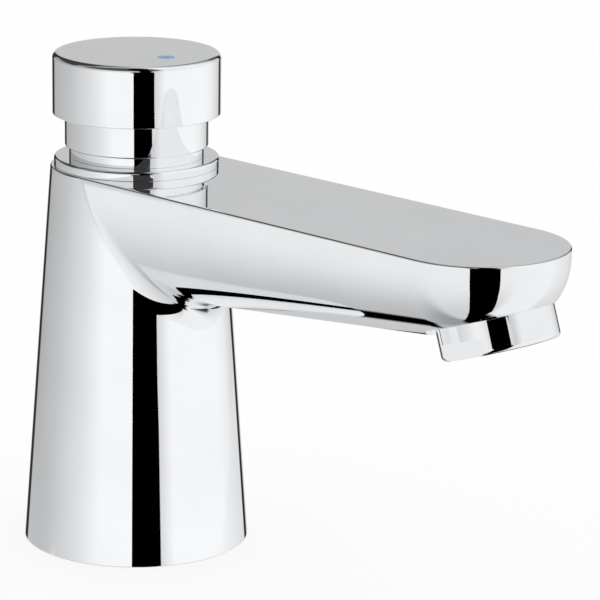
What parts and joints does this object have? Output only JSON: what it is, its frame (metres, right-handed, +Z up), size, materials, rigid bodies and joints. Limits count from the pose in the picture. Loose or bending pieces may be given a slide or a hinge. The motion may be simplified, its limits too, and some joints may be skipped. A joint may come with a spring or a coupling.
{
  "type": "push timed tap",
  "caption": "Chrome pillar tap with a tapered column, flat-topped spout, leaning aerator and a round push cap on a sleeve that opens a self-closing timing cartridge.",
  "frame": {"origin": "in the deck plane under the column's base, on the column's axis", "axes": "+Z up along the column, +X along the spout to the outlet"},
  "size_m": [0.1559, 0.0542, 0.1694],
  "materials": {
    "chrome": "bright chrome plate on brass",
    "brass": "machined brass",
    "steel": "plain stainless steel",
    "rubber": "black rubber",
    "acetal": "white acetal",
    "grey_plastic": "grey moulded plastic",
    "blue": "blue cold-water mark"
  },
  "bodies": {
    "tap": {"body": "chrome", "cover_ring": "chrome", "guide_sleeve": "chrome", "stem_bush": "acetal", "stem_o_ring": "rubber", "gland_washer": "acetal", "circlip": "steel", "timing_screw": "brass", "cartridge_housing": "acetal", "upper_o_ring": "rubber", "lower_o_ring": "rubber", "valve_seat": "brass", "return_spring": "steel", "aerator_housing": "chrome", "aerator_insert": "grey_plastic", "aerator_grid": "grey_plastic", "aerator_gasket": "rubber", "flow_regulator": "acetal", "inlet_shank": "brass", "shank_o_ring": "rubber", "inlet_strainer": "steel", "base_gasket": "rubber", "deck_gasket": "rubber", "deck_washer": "steel", "backnut": "brass"},
    "push_group": {"push_cap": "chrome", "cold_index": "blue", "cap_insert": "grey_plastic", "stem": "steel", "piston": "acetal", "lip_seal": "rubber", "piston_clip": "steel", "valve_washer": "rubber", "valve_disc": "brass", "valve_nut": "brass"}
  },
  "joints": [
    {"name": "cap_push", "type": "slide", "parent": "tap", "child": "push_group", "axis": [0, 0, -1], "range_m": [0, 0.0065], "stiffness_N_per_m": 1500, "springref_m": -0.006, "deforming": ["return_spring"]}
  ]
}
